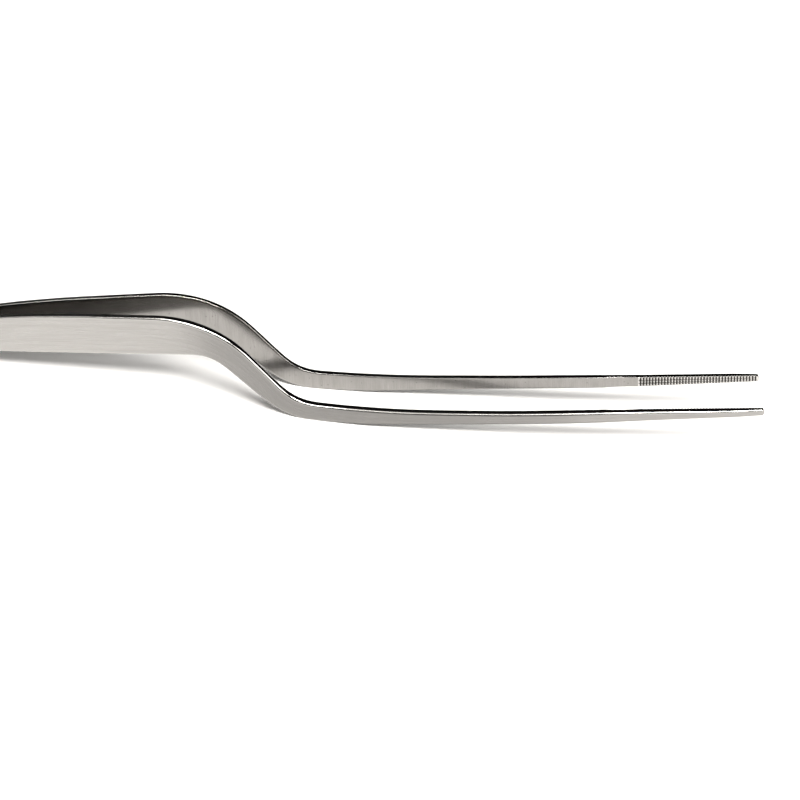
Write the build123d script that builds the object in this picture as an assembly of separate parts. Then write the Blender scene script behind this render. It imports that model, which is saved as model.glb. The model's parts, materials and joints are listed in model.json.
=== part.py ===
from build123d import *
import os
from math import asin, atan2, cos, degrees, hypot, sin, tan

# Long offset (bayonet) tweezers for planting aquariums: two ground stainless steel arms,
# resistance-welded and seam-welded face to face at the butt, sprung apart by their own bend.
#
# Each arm is drawn in its own axes: x along the handle from the butt, z up across the arm's
# broad face, y outwards from the plane in which the two arms are welded together.
# The finished tool is then tilted until it rests on its butt corner and its knees.

# Lengths along the handle (mm)
ARM_LENGTH = 259.3
HEEL_LENGTH = 15.0
SPRING_LENGTH = 32.0
SERRATION_START = 226.4
SERRATION_PITCH = 0.84
SERRATION_COUNT = 39
SERRATION_DEPTH = 0.28
SERRATION_CLEARANCE = 0.01
GROOVE_LENGTH = 6.0
TIP_TAPER_START = 251.0

# Heights across the broad face (mm)
BUTT_HEIGHT = 6.5
GRIP_HEIGHT = 11.35
KNEE_DROP = 21.8
TIP_TOP = -18.45
TIP_BOTTOM = -20.35

# Depths, away from the weld plane (mm)
TIP_OPENING = 8.6
HEEL_THICKNESS = 1.25
SHANK_THICKNESS = 2.0
JAW_THICKNESS = 1.8
TIP_THICKNESS = 1.25
EDGE_CHAMFER = 0.4

# Radii (mm)
BUTT_TOP_RADIUS = 2.0
BUTT_CORNER_RADIUS = 2.5
KNEE_RADIUS = 22.0
SPRING_RADIUS = 150.0
INNER_BOW_RADIUS = 1490.0
OUTER_BOW_RADIUS = 1380.0
JAW_BEND_RADIUS = 400.0
TIP_TAPER_RADIUS = 60.0

# Welds (mm)
NUGGET_DIAMETER = 3.0
NUGGET_THICKNESS = 0.9
NUGGET_PLACES = (3.4, 7.0)
NUGGET_HEIGHT = 3.45
SEAM_LENGTH = 8.0
SEAM_DEPTH = 0.6
SEAM_WIDTH = 1.0

# How far trimming shapes run past what they trim, and the half size of their blocks (mm)
OVERRUN = 1.0
REACH = 60.0

# Parts of a unit normal or tangent that pick out the outer faces and their long edges
FACES_OUTWARDS = 0.7
RUNS_ALONG = 0.15

# Corners of the underside, in x and z, from the grip to the shank
BEND_CORNER = (108.75, 0.0)
KNEE_CORNER = (128.55, -19.4)
SHANK_CORNER = (149.7, -21.4)

# The arm's outline in x and z, clockwise from the butt's top corner, with each corner's radius.
OUTLINE = [
    ((0.0, BUTT_HEIGHT), BUTT_TOP_RADIUS),
    ((62.0, GRIP_HEIGHT), 310.0),  # the grip reaches its full height
    ((109.2, GRIP_HEIGHT), 33.5),  # top of the bend
    ((131.3, -14.5), 15.0),  # top of the knee
    ((154.8, -17.4), 300.0),  # the shank's slow taper, in two steps
    ((190.0, -18.3), 500.0),
    ((ARM_LENGTH, TIP_TOP), 0.85),
    ((ARM_LENGTH, TIP_BOTTOM), 0.8),
    ((213.3, -KNEE_DROP), 500.0),  # heel of the jaw
    (SHANK_CORNER, 90.0),
    (KNEE_CORNER, KNEE_RADIUS),
    (BEND_CORNER, 11.0),
    ((0.0, 0.0), BUTT_CORNER_RADIUS),
]

# Corners of the inner face's line in x and y: the weld's end, the bow and the start of the jaw.
WELD_END = (12.0, 0.0)
BOW = (153.8, 9.9)
JAW_START = (226.0, 8.55)
TIP = (ARM_LENGTH + OVERRUN, TIP_OPENING)

INNER_LINE = [(0.0, 0.0), WELD_END, BOW, JAW_START, TIP]
INNER_RADII = [SPRING_RADIUS, INNER_BOW_RADIUS, JAW_BEND_RADIUS]

# The outer face's line: the same bends, thickening from the heel to the shank.
OUTER_LINE = [
    (0.0, HEEL_THICKNESS),
    (WELD_END[0], HEEL_THICKNESS),
    (BOW[0], BOW[1] + SHANK_THICKNESS),
    (JAW_START[0], JAW_START[1] + JAW_THICKNESS),
    (TIP_TAPER_START, TIP_OPENING + JAW_THICKNESS),
    (TIP[0], TIP_OPENING + TIP_THICKNESS),
]
OUTER_RADII = [SPRING_RADIUS, OUTER_BOW_RADIUS, JAW_BEND_RADIUS, TIP_TAPER_RADIUS]


def outline_face():
    """The broad face's outline, in the x-z plane."""
    corners = [(x, 0.0, z) for (x, z), _ in OUTLINE]
    radii = [radius for _, radius in OUTLINE]
    return make_face(FilletPolyline(*corners, radius=radii, close=True))


def side_line(points, radii):
    """One bent line of the arm seen from above."""
    return FilletPolyline(*points, radius=radii)


def plan_face():
    """The arm seen from above: the strip between its inner and outer lines."""
    inner = side_line(INNER_LINE, INNER_RADII)
    outer = side_line(OUTER_LINE, OUTER_RADII)
    butt_end = Line(INNER_LINE[0], OUTER_LINE[0])
    tip_end = Line(INNER_LINE[-1], OUTER_LINE[-1])
    return make_face(inner.edges() + tip_end.edges() + outer.edges() + butt_end.edges())


def bevelled(arm):
    """Break the long edges of the arm's outer face."""
    outer_faces = [face for face in arm.faces() if face.normal_at().Y > FACES_OUTWARDS]
    edges = ShapeList()
    for face in outer_faces:
        edges += [edge for edge in face.edges() if abs((edge % 0.5).X) > RUNS_ALONG]
    return chamfer(edges, EDGE_CHAMFER)


def serrations():
    """V-grooves across the jaw's gripping face."""
    half = SERRATION_PITCH / 2
    slope = (TIP[1] - JAW_START[1]) / (TIP[0] - JAW_START[0])
    grooves = []
    for number in range(SERRATION_COUNT):
        x = SERRATION_START + number * SERRATION_PITCH
        y = JAW_START[1] + slope * (x - JAW_START[0])
        mouth = y - SERRATION_CLEARANCE
        notch = Polyline((x - half, mouth), (x, y + SERRATION_DEPTH), (x + half, mouth), close=True)
        grooves.append(Pos(0, 0, -KNEE_DROP - SERRATION_DEPTH) * extrude(make_face(notch), GROOVE_LENGTH))
    return grooves


def arm_solid():
    """A whole arm, opening towards +y."""
    side = extrude(outline_face(), REACH, dir=(0, 1, 0))
    plan = Pos(0, 0, -REACH) * extrude(plan_face(), 2 * REACH)
    arm = bevelled((side & plan).solid())
    for groove in serrations():
        arm -= groove
    return arm


def stretch(arm, start, end):
    """The part of an arm that lies between two places along the handle."""
    block = Pos((start + end) / 2, 0, 0) * Box(end - start, 2 * REACH, 2 * REACH)
    return (arm & block).solid()


def nuggets():
    """Lens-shaped resistance-weld nuggets, half in each arm."""
    half_width = NUGGET_DIAMETER / 2
    half_height = NUGGET_THICKNESS / 2
    ball_radius = (half_width**2 + half_height**2) / (2 * half_height)
    shift = ball_radius - half_height
    lens = Pos(0, shift, 0) * Sphere(ball_radius) & Pos(0, -shift, 0) * Sphere(ball_radius)
    return [Pos(x, 0, NUGGET_HEIGHT) * lens.solid() for x in NUGGET_PLACES]


def seam():
    """The ground-flush seam weld that runs round the butt along the joint line."""
    outline = outline_face()
    whole = extrude(outline, SEAM_WIDTH / 2, dir=(0, 1, 0), both=True)
    core = extrude(offset(outline, -SEAM_DEPTH), SEAM_WIDTH, dir=(0, 1, 0), both=True)
    return stretch(whole - core, -OVERRUN, SEAM_LENGTH)


def rest_tilt():
    """The handle's slope, in degrees, when the butt corner and the knee both touch the ground."""
    along = atan2(SHANK_CORNER[1] - KNEE_CORNER[1], SHANK_CORNER[0] - KNEE_CORNER[0])
    down = atan2(KNEE_CORNER[1] - BEND_CORNER[1], KNEE_CORNER[0] - BEND_CORNER[0])
    run = KNEE_RADIUS * tan((along - down) / 2)
    knee_x = KNEE_CORNER[0] + run * cos(along) - KNEE_RADIUS * sin(along)
    knee_z = KNEE_CORNER[1] + run * sin(along) + KNEE_RADIUS * cos(along)
    away_x = knee_x - BUTT_CORNER_RADIUS
    away_z = knee_z - BUTT_CORNER_RADIUS
    lift = asin((KNEE_RADIUS - BUTT_CORNER_RADIUS) / hypot(away_x, away_z))
    return degrees(lift - atan2(away_z, away_x))


def arm_nodes(side, arm, welds):
    """One arm's heel, spring stretch and blade, by name."""
    blade_start = HEEL_LENGTH + SPRING_LENGTH
    heel = stretch(arm, -OVERRUN, HEEL_LENGTH)
    for weld in welds:
        heel -= weld
    return {
        f"{side}_heel": heel.solid(),
        f"{side}_spring": stretch(arm, HEEL_LENGTH, blade_start),
        f"{side}_blade": stretch(arm, blade_start, ARM_LENGTH + OVERRUN),
    }


def tool_nodes():
    """Every piece of the tool, in the arms' own axes."""
    far_arm = arm_solid()
    near_arm = mirror(far_arm, Plane.XZ)
    seam_weld = seam()
    nugget_pair = nuggets()
    welds = [seam_weld, *nugget_pair]
    nodes = arm_nodes("far", far_arm, welds) | arm_nodes("near", near_arm, welds)
    nodes["seam_weld"] = seam_weld
    nodes["weld_nuggets"] = Compound(children=nugget_pair)
    return nodes


def resting_place(nodes):
    """The move that stands the tool on its butt corner and knees, centred over the origin."""
    tilt = Rot(0, -rest_tilt(), 0)
    box = Compound(children=[tilt * piece for piece in nodes.values()]).bounding_box()
    return Pos(-box.center().X, 0, -box.min.Z) * tilt


def main():
    os.makedirs("parts", exist_ok=True)
    nodes = tool_nodes()
    place = resting_place(nodes)
    for name, piece in nodes.items():
        export_step(place * piece, f"parts/{name}.step")


if __name__ == "__main__":
    main()
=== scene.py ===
import json
from math import cos, pi, radians, sin

import bmesh
import bpy
import numpy as np
from mathutils import Matrix, Vector
from mathutils.bvhtree import BVHTree


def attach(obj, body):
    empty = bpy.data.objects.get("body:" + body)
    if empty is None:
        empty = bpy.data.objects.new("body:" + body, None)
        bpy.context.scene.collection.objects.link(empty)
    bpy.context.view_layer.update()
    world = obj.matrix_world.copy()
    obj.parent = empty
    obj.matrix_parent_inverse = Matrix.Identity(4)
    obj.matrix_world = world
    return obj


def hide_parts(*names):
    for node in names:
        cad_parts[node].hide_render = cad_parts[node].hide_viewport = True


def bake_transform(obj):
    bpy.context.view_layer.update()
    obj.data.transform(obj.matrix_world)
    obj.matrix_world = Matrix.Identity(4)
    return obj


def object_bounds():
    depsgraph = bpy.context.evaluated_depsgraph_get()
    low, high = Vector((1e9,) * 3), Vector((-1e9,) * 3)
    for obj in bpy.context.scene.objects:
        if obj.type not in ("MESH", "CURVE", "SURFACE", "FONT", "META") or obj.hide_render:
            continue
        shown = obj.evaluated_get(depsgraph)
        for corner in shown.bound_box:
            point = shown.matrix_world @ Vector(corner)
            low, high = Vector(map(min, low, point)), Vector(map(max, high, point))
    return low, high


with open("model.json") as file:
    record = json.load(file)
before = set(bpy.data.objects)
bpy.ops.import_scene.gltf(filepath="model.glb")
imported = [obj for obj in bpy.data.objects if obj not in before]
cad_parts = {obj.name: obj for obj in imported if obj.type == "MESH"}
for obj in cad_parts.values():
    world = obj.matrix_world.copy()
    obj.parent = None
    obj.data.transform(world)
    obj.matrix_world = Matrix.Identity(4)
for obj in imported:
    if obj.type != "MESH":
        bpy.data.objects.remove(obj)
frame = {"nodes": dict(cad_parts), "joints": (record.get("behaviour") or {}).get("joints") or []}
cad_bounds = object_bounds()

MM = 0.001

# Places along an arm, from the butt, in mm
HEEL_END = 15.0
SPRING_END = 47.0
SEAM_END = 8.0
SCOOP_START = 216.0
TEETH_START = 226.0
ROWS_END = 238.0

# Teeth on the jaw's inner face, in mm
TOOTH_PITCH = 0.84
TOOTH_COUNT = 39
TOOTH_DEPTH = 0.28
TOOTH_ROWS = 3
ROW_DEPTH = 0.24
FAINT_ROW_DEPTH = 0.2
SCOOP_DEPTH = 0.3

# Corner radii of the outline's two ends, in mm
BUTT_TOP_RADIUS = 2.0
BUTT_BOTTOM_RADIUS = 2.5
TIP_RADIUS = 0.8

# Radii of the outer and inner face's edges along an arm, as (place, radius), in mm
OUTER_ROUNDS = [
    (0, 0.45),
    (12, 0.35),
    (50, 0.4),
    (70, 0.55),
    (88, 0.7),
    (105, 0.95),
    (130, 0.9),
    (150, 0.8),
    (200, 0.8),
    (222, 0.85),
    (240, 0.8),
    (262, 0.4),
]
INNER_ROUNDS = [(0, 0.4), (8, 0.4), (12, 0.14), (262, 0.14)]

# How much of those outer radii each arm has, and how much of that its underside has.
# Across the broad face, from 0 at its top to 1, the underside's share sets in over a short stretch.
ROUNDNESS = {"near": 1.0, "far": 0.4}
UNDERSIDE_ROUNDNESS = 0.45
UNDERSIDE_START = 0.4
UNDERSIDE_BLEND = 0.2

# The seam weld's bead: lengths in mm, and counts of steps
BEAD_HALF_WIDTH = 0.46
BEAD_CROWN = 0.14
BEAD_INSET = 0.04
BEAD_RIPPLE = 0.03
BEAD_PITCH = 0.85
BEAD_THICKNESS = 0.5
BEAD_STEP = 0.1
BEAD_FADE_STEPS = 10
BEAD_STEPS_ACROSS = 9

# Painted shade on an arm's outer face along the arm, as (place in mm, share): the colour is darker from the
# bend to the shank, standing in for the darker reflections there
OUTER_PAINTED_SHADE = [(0, 0.69), (93, 0.7), (104, 0.6), (114, 0.47), (200, 0.46), (221, 0.57), (262, 0.64)]

# Painted shade on the long edges along an arm, as (place in mm, share): darkest on the shank, where it dims
# their highlights
EDGE_PAINTED_SHADE = [
    (0, 0.69),
    (93, 0.7),
    (104, 0.6),
    (114, 0.47),
    (142, 0.46),
    (158, 0.2),
    (212, 0.22),
    (228, 0.5),
    (262, 0.6),
]

# Roughness of the long edges along an arm: brushed on the handle and shank, polished at the bend and the jaw
EDGE_ROUGHNESS = [
    (0, 0.24),
    (90, 0.24),
    (108, 0.08),
    (142, 0.09),
    (158, 0.26),
    (215, 0.22),
    (232, 0.1),
    (262, 0.08),
]

# Mesh density: lengths in mm, and counts
PROBE_STEP = 0.25
STATION_STEP = 0.8
SCOOP_STEP = 0.25
STEPS_PER_TOOTH = 6
STEPS_ACROSS = 12
CORNER_STEPS = 8
OUTER_ROUND_STEPS = 8
INNER_ROUND_STEPS = 3

# Edges that turn by more than this many degrees are shaded sharp
SHARP_ANGLE = 50

# How far the probes and the first row of mesh points stay off the rounded ends, in mm,
# and the height and thickness from which probing starts
END_CLEARANCE = 0.1
STATION_CLEARANCE = 0.3
FIRST_HEIGHT = 6.0
FIRST_THICKNESS = 1.25

# Smoothing of the probed measures, and how far they are carried on past the ends, in probe steps
OUTLINE_SMOOTHING = 5
FACE_SMOOTHING = 12
CARRY_STEPS = 12

# Material slots of an arm
OUTER_SLOT, EDGE_SLOT, INNER_SLOT, TOOTH_SLOT = range(4)

# The teeth's material takes in the last strip of faces before them
TOOTH_SLOT_START = TEETH_START - 1.5 * SCOOP_STEP

# How far before the teeth the cut share counts, and how far before them their crests are sought, in mm
CUT_MARGIN = 0.1
CREST_MARGIN = 1


# ------------------------------------------------------------------ reading an arm's shape from the frame


def smoothed(values, sigma):
    """A table smoothed by a Gaussian, with its ends carried on in a straight line."""
    reach = int(4 * sigma)
    kernel = np.exp(-0.5 * (np.arange(-reach, reach + 1) / sigma) ** 2)
    before = values[0] + (values[0] - values[1]) * np.arange(reach, 0, -1)
    after = values[-1] + (values[-1] - values[-2]) * np.arange(1, reach + 1)
    return np.convolve(np.concatenate([before, values, after]), kernel / kernel.sum(), "valid")


class ArmShape:
    """One arm's outline and faces in its own axes: x from the butt, z up from the heel, y outwards."""

    def __init__(self, side):
        self.sign = -1 if side == "near" else 1
        joint = next(j for j in frame["joints"] if j["child"] == f"{side}_arm")
        axis = Vector(joint["axis"]) * (1 if joint["axis"][2] > 0 else -1)
        self.to_arm = Matrix.Rotation(axis.angle(Vector((0, 0, 1))), 3, "Y")
        self.nodes = [f"{side}_{part}" for part in ("heel", "spring", "blade")]
        heel = self.node_points(self.nodes[0])
        self.origin = np.array([heel[:, 0].min(), 0, heel[:, 2].min()])
        self.probe()

    def node_points(self, node):
        points = np.array([self.to_arm @ v.co for v in frame["nodes"][node].data.vertices])
        return points / MM * (1, self.sign, 1)

    def surface(self):
        points, faces, count = [], [], 0
        for node in self.nodes:
            part = self.node_points(node) - self.origin
            faces += [[i + count for i in p.vertices] for p in frame["nodes"][node].data.polygons]
            points.append(part)
            count += len(part)
        points = np.concatenate(points)
        self.length = points[:, 0].max()
        return BVHTree.FromPolygons(points.tolist(), faces)

    def probe(self):
        """Walks along the arm and measures its top, underside and two faces at every step."""
        tree = self.surface()
        start = BUTT_BOTTOM_RADIUS + END_CLEARANCE
        places = np.arange(start, self.length - TIP_RADIUS - END_CLEARANCE, PROBE_STEP)
        rows = []
        low, high, inner, outer = 0.0, FIRST_HEIGHT, 0.0, FIRST_THICKNESS
        for x in places:
            y, z, quarter = (inner + outer) / 2, (low + high) / 2, low + (high - low) / 4
            high = tree.ray_cast((x, y, z), (0, 0, 1))[0].z
            low = tree.ray_cast((x, y, z), (0, 0, -1))[0].z
            inner = tree.ray_cast((x, y, quarter), (0, -1, 0))[0].y
            outer = tree.ray_cast((x, y, quarter), (0, 1, 0))[0].y
            rows.append((high, low, inner, outer))
        high, low, inner, outer = np.array(rows).T
        window = int(TOOTH_PITCH / PROBE_STEP) + 1
        crest = np.array([inner[max(0, i - window) : i + window + 1].min() for i in range(len(inner))])
        inner = np.where(places > TEETH_START - CREST_MARGIN, crest, inner)
        self.places = places
        outline = [smoothed(values, OUTLINE_SMOOTHING) for values in (high, low)]
        self.tables = outline + [smoothed(values, FACE_SMOOTHING) for values in (inner, outer)]

    def at(self, table, x):
        """A measure at any place along the arm, carried on in a straight line past the ends."""
        values, places = self.tables[table], self.places
        carried = [2 * values[0] - values[CARRY_STEPS], *values, 2 * values[-1] - values[-1 - CARRY_STEPS]]
        reach = CARRY_STEPS * PROBE_STEP
        return np.interp(x, [places[0] - reach, *places, places[-1] + reach], carried)

    def top(self, x):
        return self.at(0, x)

    def bottom(self, x):
        return self.at(1, x)

    def inner(self, x):
        return self.at(2, x)

    def outer(self, x):
        return self.at(3, x)

    def to_row(self, points):
        """Points in the arm's axes, in mm, to the row frame, in metres."""
        points = (points + self.origin) * (1, self.sign, 1) * MM
        back = np.array(self.to_arm.inverted())
        return points @ back.T


# ------------------------------------------------------------------ building an arm


def stations(shape):
    """Places along the arm where the mesh has a row of points."""
    teeth_end = shape.length - TIP_RADIUS - END_CLEARANCE
    plain = np.arange(BUTT_BOTTOM_RADIUS + STATION_CLEARANCE, SCOOP_START, STATION_STEP)
    scoop = np.arange(SCOOP_START, TEETH_START - SCOOP_STEP / 2, SCOOP_STEP)
    teeth = np.arange(TEETH_START, teeth_end, TOOTH_PITCH / STEPS_PER_TOOTH)
    return np.concatenate([plain, scoop, teeth])


def butt_line(places, height, way, butt_radius):
    """The outline's top (way 1) or underside (way -1) from the middle of the rounded butt end."""
    turn = np.linspace(0, pi / 2, CORNER_STEPS + 1)
    butt_z = height(butt_radius) - way * butt_radius
    butt = np.stack([butt_radius * (1 - np.cos(turn)), butt_z + way * butt_radius * np.sin(turn)], 1)
    return np.concatenate([butt, np.stack([places, height(places)], 1)])


def line_normals(line, way):
    """Unit normals of such a line, pointing out of the arm."""
    slope = np.gradient(line, axis=0)
    normals = np.stack([-way * slope[:, 1], way * slope[:, 0]], 1)
    normals /= np.linalg.norm(normals, axis=1)[:, None]
    normals[0] = (-1, 0)
    return normals


def edge_line(shape, places, height, way, butt_radius):
    """The outline's top (way 1) or underside (way -1), rounded at both ends, and its outward normals."""
    turn = np.linspace(0, pi / 2, CORNER_STEPS + 1)
    tip_x = shape.length - TIP_RADIUS
    tip_z = height(tip_x) - way * TIP_RADIUS
    tip = np.stack([tip_x + TIP_RADIUS * np.sin(turn), tip_z + way * TIP_RADIUS * np.cos(turn)], 1)
    line = np.concatenate([butt_line(places, height, way, butt_radius), tip])
    normals = line_normals(line, way)
    normals[-1] = (1, 0)
    return line, normals


def edge_profile(outer_round, inner_round, thickness):
    """The section of a long edge, from the outer face to the inner one, as (inset, depth) arrays."""
    turn = np.linspace(0, pi / 2, OUTER_ROUND_STEPS + 1)[:, None]
    outer = outer_round * (1 - np.sin(turn)), outer_round * (1 - np.cos(turn))
    turn = np.linspace(0, pi / 2, INNER_ROUND_STEPS + 1)[:, None]
    inner = inner_round * (1 - np.cos(turn)), thickness - inner_round * (1 - np.sin(turn))
    return np.concatenate([outer[0], inner[0]]), np.concatenate([outer[1], inner[1]])


def tooth_depth(x, across):
    """How deep the jaw's inner face is cut at a place: cross grooves, lengthwise rows and a ground scoop."""
    phase = (x - TEETH_START) / TOOTH_PITCH
    wave = 1 - np.abs(2 * (phase % 1) - 1)
    in_teeth = (phase >= 0) & (phase <= TOOTH_COUNT)
    cut = np.where(in_teeth, TOOTH_DEPTH * wave, 0)
    row = np.isclose(across * TOOTH_ROWS % 1, 0, atol=0.02) & (across > 0.1) & (across < 0.9)
    row_depth = np.where(x < ROWS_END, ROW_DEPTH, FAINT_ROW_DEPTH)
    cut = np.maximum(cut, np.where(row & in_teeth, row_depth, 0))
    along = np.clip((x - SCOOP_START) / (TEETH_START - SCOOP_START), 0, 1)
    scoop = SCOOP_DEPTH * np.sin(pi * np.minimum(along, 0.96)) ** 0.8
    return np.where(phase < 0, scoop, cut)


class ArmMesh:
    """One whole arm as a closed quad mesh: rings of points round its edges, and a grid on each face."""

    def __init__(self, side):
        self.shape = ArmShape(side)
        self.vertices, self.uvs, self.cuts = [], [], []
        self.faces, self.slots = [], []
        self.index = {}
        self.across = np.linspace(0, 1, STEPS_ACROSS + 1)
        self.measure_lines()
        self.close_loop()
        self.measure_edges(side)
        self.add_rings()
        outer_grid, inner_grid = [self.add_grid(ring) for ring in (0, self.rings - 1)]
        self.add_broad_faces(outer_grid, lambda x: OUTER_SLOT)
        self.add_broad_faces(inner_grid, lambda x: TOOTH_SLOT if x > TOOTH_SLOT_START else INNER_SLOT)
        self.add_edge_faces()

    def measure_lines(self):
        """The outline's top and underside, and the run along the arm and the height at their points."""
        shape, places = self.shape, stations(self.shape)
        self.top, self.top_out = edge_line(shape, places, shape.top, 1, BUTT_TOP_RADIUS)
        self.low, self.low_out = edge_line(shape, places, shape.bottom, -1, BUTT_BOTTOM_RADIUS)
        self.last = len(self.top) - 1
        middle = (self.top + self.low) / 2
        self.run = np.concatenate([[0], np.cumsum(np.linalg.norm(np.diff(middle, axis=0), axis=1))])
        self.height = np.linalg.norm(self.top - self.low, axis=1)
        self.cut_start = np.interp(TEETH_START - CUT_MARGIN, middle[:, 0], self.run)

    def close_loop(self):
        """The closed loop of outline points: top, tip end, underside, butt end."""
        top, low, run, height, last = self.top, self.low, self.run, self.height, self.last
        inside = self.across[1:-1]
        self.end_count = count = len(inside)
        tip_end = top[-1] + (low[-1] - top[-1]) * inside[:, None]
        butt_end = low[0] + (top[0] - low[0]) * inside[:, None]
        tip_out, butt_out = (np.tile(way, (count, 1)) for way in ((1, 0), (-1, 0)))
        tip_height, butt_height = (np.full(count, end) for end in (height[-1], height[0]))
        self.loop = np.concatenate([top, tip_end, low[::-1], butt_end])
        self.out = np.concatenate([self.top_out, tip_out, self.low_out[::-1], butt_out])
        self.loop_run = np.concatenate([run, np.full(count, run[-1]), run[::-1], np.zeros(count)])
        self.loop_across = np.concatenate([np.zeros(last + 1), inside, np.ones(last + 1), inside[::-1]])
        self.loop_height = np.concatenate([height, tip_height, height[::-1], butt_height])

    def measure_edges(self, side):
        """How far each ring is set in from the outline, and how deep it lies under the outer face."""
        x = self.loop[:, 0]
        underside = np.clip((self.loop_across - UNDERSIDE_START) / UNDERSIDE_BLEND, 0, 1)
        roundness = ROUNDNESS[side] * (1 - underside * (1 - UNDERSIDE_ROUNDNESS))
        outer_round = np.interp(x, *zip(*OUTER_ROUNDS)) * roundness
        inner_round = np.interp(x, *zip(*INNER_ROUNDS))
        thickness = self.shape.outer(x) - self.shape.inner(x)
        self.insets, self.depths = edge_profile(outer_round, inner_round, thickness)
        self.rings = len(self.insets)

    def add_point(self, key, xz, depth, uv, cut):
        self.index[key] = len(self.vertices)
        self.vertices.append((xz[0], self.shape.outer(xz[0]) - depth, xz[1]))
        self.uvs.append(uv)
        # The cut share also sets the painted shade in the teeth's valleys
        self.cuts.append((cut / TOOTH_DEPTH if uv[0] > self.cut_start else 0, 0))

    def add_rings(self):
        """The rings' points, from the outer face's border to the inner one's, which the teeth notch."""
        cut = tooth_depth(self.loop[:, 0], self.loop_across)
        for ring in range(self.rings):
            for i in range(len(self.loop)):
                xz = self.loop[i] - self.out[i] * self.insets[ring, i]
                ring_cut = cut[i] if ring > OUTER_ROUND_STEPS else 0.0
                depth = self.depths[ring, i] - ring_cut
                way = 1 if self.loop_across[i] > 0.5 else -1
                v = self.loop_across[i] * self.loop_height[i] + way * depth
                self.add_point((ring, i), xz, depth, (self.loop_run[i], v), ring_cut)

    def border(self, i, j):
        """The loop's number for a grid point on a broad face's border, or None inside it."""
        if j == 0:
            return i
        if j == STEPS_ACROSS:
            return 2 * self.last + 1 + self.end_count - i
        if i == self.last:
            return self.last + j
        return 2 * self.last + 2 + 2 * self.end_count - j if i == 0 else None

    def corner(self, ring, i, j):
        x, _, z = self.vertices[self.index[(ring, self.border(i, j))]]
        return np.array([x, z])

    def add_grid(self, ring):
        """A broad face's points inside a ring, as a table of numbers with the ring's own at its border."""
        grid = np.zeros((self.last + 1, STEPS_ACROSS + 1), int)
        for i in range(self.last + 1):
            upper, lower = self.corner(ring, i, 0), self.corner(ring, i, STEPS_ACROSS)
            for j in range(STEPS_ACROSS + 1):
                edge = self.border(i, j)
                if edge is not None:
                    grid[i, j] = self.index[(ring, edge)]
                    continue
                xz = upper + (lower - upper) * self.across[j]
                depth = cut = 0.0
                if ring:
                    cut = float(tooth_depth(self.top[i, 0], self.across[j]))
                    depth = self.shape.outer(xz[0]) - self.shape.inner(xz[0]) - cut
                self.add_point((ring, i, j), xz, depth, (self.run[i], self.across[j] * self.height[i]), cut)
                grid[i, j] = self.index[(ring, i, j)]
        return grid

    def add_face(self, corners, slot):
        self.faces.append([int(corner) for corner in corners])
        self.slots.append(slot)

    def add_broad_faces(self, grid, slot_at):
        for i in range(self.last):
            for j in range(STEPS_ACROSS):
                corners = grid[i, j], grid[i + 1, j], grid[i + 1, j + 1], grid[i, j + 1]
                self.add_face(corners, slot_at(self.top[i, 0]))

    def add_edge_faces(self):
        total = len(self.loop)
        for ring in range(self.rings - 1):
            for i in range(total):
                after = (i + 1) % total
                corners = (ring, i), (ring, after), (ring + 1, after), (ring + 1, i)
                self.add_face([self.index[corner] for corner in corners], EDGE_SLOT)


def add_object(name, data):
    """A new object in the scene, which holds a mesh, a light or a camera."""
    added = bpy.data.objects.new(name, data)
    bpy.context.scene.collection.objects.link(added)
    return added


def arm_piece(name, side):
    """One arm's object and shape, with UV maps for its place in mm and for how deep the teeth cut there."""
    arm = ArmMesh(side)
    mesh = bpy.data.meshes.new(name)
    mesh.from_pydata(arm.shape.to_row(np.array(arm.vertices)).tolist(), [], arm.faces)
    mesh.polygons.foreach_set("material_index", arm.slots)
    corner = np.zeros(len(mesh.loops), int)
    mesh.loops.foreach_get("vertex_index", corner)
    for layer_name, values in (("along_arm", arm.uvs), ("cut_share", arm.cuts)):
        layer = mesh.uv_layers.new(name=layer_name)
        layer.data.foreach_set("uv", np.array(values)[corner].ravel())
    finish_mesh(mesh)
    return add_object(name, mesh), arm.shape


def evenly(line, step):
    """A line's points, spaced evenly."""
    run = np.concatenate([[0], np.cumsum(np.linalg.norm(np.diff(line, axis=0), axis=1))])
    places = np.linspace(0, run[-1], int(run[-1] / step))
    return np.stack([np.interp(places, run, line[:, 0]), np.interp(places, run, line[:, 1])], 1)


def bead_piece(name):
    """The seam weld: a low rippled bead that fills the joint between the two heels round the butt."""
    shape = ArmShape("far")
    places = np.arange(BUTT_BOTTOM_RADIUS + END_CLEARANCE, SEAM_END, BEAD_STEP)
    top = butt_line(places, shape.top, 1, BUTT_TOP_RADIUS)
    low = butt_line(places, shape.bottom, -1, BUTT_BOTTOM_RADIUS)
    line = evenly(np.concatenate([top[::-1], low]), BEAD_STEP)
    out = line_normals(line, -1)
    out[0] = out[1]
    steps = np.linspace(-1, 1, BEAD_STEPS_ACROSS)
    vertices = []
    for i, (point, way) in enumerate(zip(line, out)):
        fade = min(i, len(line) - 1 - i, BEAD_FADE_STEPS) / BEAD_FADE_STEPS
        ripple = BEAD_RIPPLE * (1 + cos(2 * pi * i * BEAD_STEP / BEAD_PITCH))
        for t in steps:
            crown = BEAD_CROWN * (t * t + 1 - fade)
            xz = point - way * (BEAD_INSET + crown + ripple * (1 - t * t))
            vertices.append((xz[0], t * BEAD_HALF_WIDTH, xz[1]))
        for t in steps[::-1]:
            xz = point - way * (BEAD_THICKNESS + BEAD_CROWN)
            vertices.append((xz[0], t * BEAD_HALF_WIDTH, xz[1]))
    ring = 2 * len(steps)
    faces = [list(range(ring)), list(range(len(vertices) - ring, len(vertices)))]
    for i in range(len(line) - 1):
        for k in range(ring):
            a, b = i * ring + k, i * ring + (k + 1) % ring
            faces.append((a, b, b + ring, a + ring))
    mesh = bpy.data.meshes.new(name)
    mesh.from_pydata(shape.to_row(np.array(vertices)).tolist(), [], faces)
    finish_mesh(mesh)
    return add_object(name, mesh)


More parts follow.
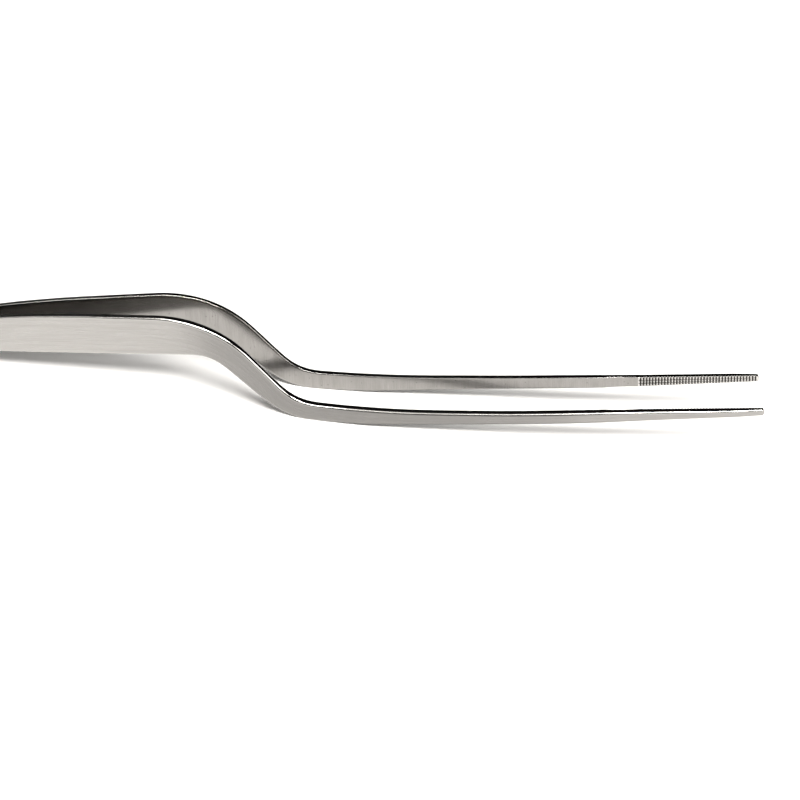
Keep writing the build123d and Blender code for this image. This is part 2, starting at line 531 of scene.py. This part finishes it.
def finish_mesh(mesh):
    """Outward normals, and smooth shading except across sharp edges."""
    work = bmesh.new()
    work.from_mesh(mesh)
    bmesh.ops.recalc_face_normals(work, faces=work.faces)
    work.to_mesh(mesh)
    work.free()
    mesh.shade_smooth()
    mesh.set_sharp_from_angle(angle=radians(SHARP_ANGLE))


# ------------------------------------------------------------------ materials


NOISE_RANGE = (0.3, 0.7)
STREAK_ROUGHNESS = 0.6


class Nodes:
    """Small helper that adds nodes to one material and links them."""

    def __init__(self, name):
        self.material = bpy.data.materials.new(name)
        self.material.use_nodes = True
        self.tree = self.material.node_tree
        self.shader = self.tree.nodes["Principled BSDF"]

    def add(self, kind, inputs=(), **settings):
        node = self.tree.nodes.new(kind)
        for key, value in settings.items():
            setattr(node, key, value)
        for key, value in dict(inputs).items():
            if isinstance(value, bpy.types.NodeSocket):
                self.tree.links.new(value, node.inputs[key])
            else:
                node.inputs[key].default_value = value
        return node

    def link(self, output, socket):
        self.tree.links.new(output, self.shader.inputs[socket])

    def streaks(self, along, across, detail=3.0):
        """Noise drawn out along the arm: one cycle per `along` mm and per `across` mm."""
        uv = self.add("ShaderNodeUVMap", uv_map="along_arm")
        density = (1 / along, 1 / across, 1)
        scale = self.add("ShaderNodeVectorMath", {0: uv.outputs[0], 1: density}, operation="MULTIPLY")
        noise = self.add(
            "ShaderNodeTexNoise",
            {"Vector": scale.outputs[0], "Scale": 1.0, "Detail": detail, "Roughness": STREAK_ROUGHNESS},
            noise_dimensions="2D",
        )
        return noise.outputs["Fac"]

    def ramp(self, factor, low, high, out_low, out_high):
        node = self.add(
            "ShaderNodeMapRange",
            {"Value": factor, "From Min": low, "From Max": high, "To Min": out_low, "To Max": out_high},
        )
        return node.outputs[0]

    def from_noise(self, noise, out_low, out_high):
        """Spreads the middle of a noise's range, where nearly all of it lies, between two values."""
        return self.ramp(noise, *NOISE_RANGE, out_low, out_high)

    def mix(self, factor, a, b):
        node = self.add("ShaderNodeMix", data_type="RGBA")
        self.tree.links.new(factor, node.inputs["Factor"])
        node.inputs[6].default_value = (*a, 1)
        node.inputs[7].default_value = (*b, 1)
        return node.outputs[2]

    def add_values(self, a, b, weight_a, weight_b):
        first = self.add("ShaderNodeMath", {0: a, 1: weight_a}, operation="MULTIPLY")
        both = self.add("ShaderNodeMath", {0: b, 1: weight_b, 2: first.outputs[0]}, operation="MULTIPLY_ADD")
        return both.outputs[0]

    def along(self, stops):
        """A value that follows (place in mm, value) stops along the arm."""
        uv = self.add("ShaderNodeUVMap", uv_map="along_arm")
        place = self.add("ShaderNodeSeparateXYZ", {0: uv.outputs[0]})
        end = stops[-1][0]
        share = self.ramp(place.outputs[0], 0, end, 0, 1)
        curve = self.add("ShaderNodeFloatCurve", {"Value": share})
        points = curve.mapping.curves[0].points
        while len(points) < len(stops):
            points.new(0, 0)
        for point, (where, value) in zip(points, stops):
            point.location = (where / end, value)
        curve.mapping.update()
        return curve.outputs[0]

    def shaded(self, colour, factor):
        return self.add("ShaderNodeVectorMath", {0: colour, "Scale": factor}, operation="SCALE").outputs[0]

    def specks(self, spacing, size):
        """1 in small pits scattered along the arm, 0 elsewhere; both lengths in mm."""
        uv = self.add("ShaderNodeUVMap", uv_map="along_arm")
        cells = self.add(
            "ShaderNodeTexVoronoi",
            {"Vector": uv.outputs[0], "Scale": 1 / spacing, "Randomness": 1.0},
            voronoi_dimensions="2D",
        )
        return self.ramp(cells.outputs["Distance"], 0.5 * size / spacing, size / spacing, 1, 0)

    def bump(self, height, distance, strength):
        node = self.add("ShaderNodeBump", {"Height": height, "Distance": distance, "Strength": strength})
        self.link(node.outputs[0], "Normal")


def steel(name):
    nodes = Nodes(name)
    nodes.shader.inputs["Metallic"].default_value = 1.0
    return nodes


def outer_steel():
    """Satin steel, brushed lengthwise, with painted shade that darkens its colour from the bend to the
    shank.
    """
    nodes = steel("outer_satin_steel")
    fine = nodes.streaks(9, 0.13, detail=4)
    broad = nodes.streaks(26, 1.1)
    both = nodes.add_values(fine, broad, 0.6, 0.4)
    satin = nodes.mix(nodes.from_noise(both, 0, 1), (0.42, 0.409, 0.395), (0.515, 0.504, 0.49))
    # Painted shade: the colour is scaled down along the arm, darkest from the bend to the shank
    nodes.link(nodes.shaded(satin, nodes.along(OUTER_PAINTED_SHADE)), "Base Color")
    nodes.link(nodes.from_noise(both, 0.34, 0.24), "Roughness")
    nodes.bump(fine, 0.00002, 0.6)
    return nodes.material


def inner_steel():
    """Steel ground across the arm, with a few pits."""
    nodes = steel("inner_ground_steel")
    fine = nodes.streaks(0.15, 9, detail=4)
    broad = nodes.streaks(3.5, 12)
    both = nodes.add_values(fine, broad, 0.65, 0.35)
    ground = nodes.mix(nodes.from_noise(both, 0, 1), (0.215, 0.208, 0.199), (0.305, 0.297, 0.286))
    pits = nodes.specks(4.2, 0.16)
    nodes.link(nodes.shaded(ground, nodes.ramp(pits, 0, 1, 1, 0.35)), "Base Color")
    nodes.link(nodes.from_noise(both, 0.2, 0.13), "Roughness")
    nodes.bump(nodes.add_values(fine, pits, 0.5, -1), 0.00002, 0.5)
    return nodes.material


def edge_steel():
    """Steel of the long edges: brushed on the handle and shank, polished at the bend and the jaw, with
    painted shade dimming their colour on the shank.
    """
    nodes = steel("edge_polished_steel")
    fine = nodes.streaks(12, 0.12)
    polish = nodes.mix(nodes.from_noise(fine, 0, 1), (0.54, 0.529, 0.512), (0.62, 0.609, 0.592))
    # Painted shade: the colour is scaled down along the arm, most on the shank, to dim the highlights there
    nodes.link(nodes.shaded(polish, nodes.along(EDGE_PAINTED_SHADE)), "Base Color")
    grain = nodes.from_noise(fine, 0.03, -0.03)
    nodes.link(nodes.add_values(nodes.along(EDGE_ROUGHNESS), grain, 1.0, 1.0), "Roughness")
    return nodes.material


def tooth_steel():
    """Cut steel of the jaw's teeth: bright crests, and valleys that are duller and darkened by painted
    shade.
    """
    nodes = steel("tooth_cut_steel")
    grain = nodes.streaks(0.5, 0.5)
    uv = nodes.add("ShaderNodeUVMap", uv_map="cut_share")
    share = nodes.add("ShaderNodeSeparateXYZ", {0: uv.outputs[0]}).outputs[0]
    # Painted shade: the deeper the teeth cut, the darker the colour, down to near black in the valleys
    valley_shade = nodes.ramp(nodes.add_values(share, grain, 1.0, 0.25), 0.36, 0.85, 0, 1)
    nodes.link(nodes.mix(valley_shade, (0.5, 0.488, 0.472), (0.035, 0.033, 0.031)), "Base Color")
    nodes.link(nodes.ramp(valley_shade, 0, 1, 0.2, 0.5), "Roughness")
    return nodes.material


def weld_steel():
    """Dull weld metal, with a trace of straw-coloured heat tint."""
    nodes = steel("weld_ground_steel")
    place = nodes.add("ShaderNodeTexCoord").outputs["Object"]
    grain = nodes.add("ShaderNodeTexNoise", {"Vector": place, "Scale": 2500.0, "Detail": 4.0}).outputs["Fac"]
    tint = nodes.add("ShaderNodeTexNoise", {"Vector": place, "Scale": 260.0, "Detail": 2.0}).outputs["Fac"]
    tinted = nodes.mix(nodes.ramp(tint, 0.35, 0.65, 0, 1), (0.47, 0.455, 0.43), (0.52, 0.47, 0.385))
    nodes.link(tinted, "Base Color")
    nodes.link(nodes.from_noise(grain, 0.4, 0.26), "Roughness")
    nodes.bump(grain, 0.00003, 0.6)
    return nodes.material


# ------------------------------------------------------------------ stage, lights and camera


def plain_material(name, colour, roughness):
    nodes = Nodes(name)
    nodes.shader.inputs["Base Color"].default_value = (*colour, 1)
    nodes.shader.inputs["Roughness"].default_value = roughness
    return nodes.material


# Rings of the floor, in metres, and points round each
FLOOR_RADII = (0.5, 1.2, 1.9)
FLOOR_POINTS = 96
FLOOR_WHITE = (0.9, 0.9, 0.9)


def make_stage():
    """A flat, round, white floor."""
    mesh = bpy.data.meshes.new("stage_floor")
    turns = [2 * pi * k / FLOOR_POINTS for k in range(FLOOR_POINTS)]
    points = [(0, 0, 0)]
    faces = []
    for radius in FLOOR_RADII:
        points += [(radius * cos(turn), radius * sin(turn), 0) for turn in turns]
    for k in range(FLOOR_POINTS):
        after = (k + 1) % FLOOR_POINTS
        faces.append((0, 1 + k, 1 + after))
        for ring in range(len(FLOOR_RADII) - 1):
            base = 1 + ring * FLOOR_POINTS
            outside = base + FLOOR_POINTS
            faces.append((base + k, outside + k, outside + after, base + after))
    mesh.from_pydata(points, [], faces)
    mesh.shade_smooth()
    floor = add_object("stage_floor", mesh)
    floor.data.materials.append(plain_material("stage_white", FLOOR_WHITE, 0.9))


LAMP_COLOUR = (1.0, 0.975, 0.94)
STUDIO_DARK = (0.012, 0.012, 0.012)


def softbox(name, turn, height, distance, size, watts):
    """A soft light at a turn from the front (towards +X) and a height above the floor, in degrees."""
    turn, height = radians(turn), radians(height)
    place = Vector((sin(turn) * cos(height), -cos(turn) * cos(height), sin(height))) * distance
    light = bpy.data.lights.new(name, "AREA")
    light.shape = "RECTANGLE"
    light.size, light.size_y = size
    light.energy = watts
    light.color = LAMP_COLOUR
    lamp = add_object(name, light)
    lamp.location = place
    lamp.rotation_euler = (-place).to_track_quat("-Z", "Y").to_euler()


def make_lights():
    softbox("key_softbox", 20, 44, 2.6, (1.8, 0.42), 132)
    softbox("top_softbox", -17, 56, 2.0, (0.5, 0.35), 9)
    softbox("right_softbox", 56, 24, 1.6, (0.9, 0.7), 17)
    softbox("left_softbox", -78, 38, 2.0, (1.0, 0.9), 16)
    world = bpy.data.worlds.new("studio")
    world.use_nodes = True
    world.node_tree.nodes["Background"].inputs[0].default_value = (*STUDIO_DARK, 1)
    bpy.context.scene.world = world
    bpy.context.scene.view_settings.view_transform = "Standard"


# The view: angles, distance in metres, lens in mm, and the place aimed at as shares of the box in x and z
VIEW_ELEVATION = radians(30)
VIEW_TURN = radians(-3.21)
VIEW_ROLL = radians(8.22)
VIEW_DISTANCE = 0.8966
VIEW_LENS = 145.9
VIEW_AIM = (0.6208, 0.16)


def make_camera():
    """A long lens that looks down across the tool and shows it from the grip to the tips."""
    low, high = (Vector(corner) for corner in cad_bounds)
    aim = Vector((low.x + VIEW_AIM[0] * (high.x - low.x), 0, low.z + VIEW_AIM[1] * (high.z - low.z)))
    level = Vector((cos(VIEW_TURN), sin(VIEW_TURN), 0))
    ahead = Vector((-sin(VIEW_TURN), cos(VIEW_TURN), 0))
    forward = ahead * cos(VIEW_ELEVATION) - Vector((0, 0, sin(VIEW_ELEVATION)))
    up = ahead * sin(VIEW_ELEVATION) + Vector((0, 0, cos(VIEW_ELEVATION)))
    right = level * cos(VIEW_ROLL) + up * sin(VIEW_ROLL)
    head = up * cos(VIEW_ROLL) - level * sin(VIEW_ROLL)
    turn = Matrix((right, head, -forward)).transposed().to_4x4()
    data = bpy.data.cameras.new("camera")
    data.lens = VIEW_LENS
    camera = add_object("camera", data)
    camera.matrix_world = Matrix.Translation(aim - forward * VIEW_DISTANCE) @ turn
    bpy.context.scene.camera = camera


# ------------------------------------------------------------------ the scene


def make_arm(side, materials):
    piece, shape = arm_piece(f"{side}_arm", side)
    for material in materials:
        piece.data.materials.append(material)
    ends = shape.to_row(np.array([[HEEL_END, 0, 0], [SPRING_END, 0, 0]], float))
    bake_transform(piece)
    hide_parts(*shape.nodes)


def make_bead(weld):
    piece = bead_piece("seam_bead")
    piece.data.materials.append(weld)
    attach(piece, "heel")
    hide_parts("seam_weld")


def main():
    arm_materials = [outer_steel(), edge_steel(), inner_steel(), tooth_steel()]
    for side in ("near", "far"):
        make_arm(side, arm_materials)
    weld = weld_steel()
    make_bead(weld)
    nugget_materials = frame["nodes"]["weld_nuggets"].data.materials
    nugget_materials.clear()
    nugget_materials.append(weld)
    make_stage()
    make_lights()
    make_camera()


main()
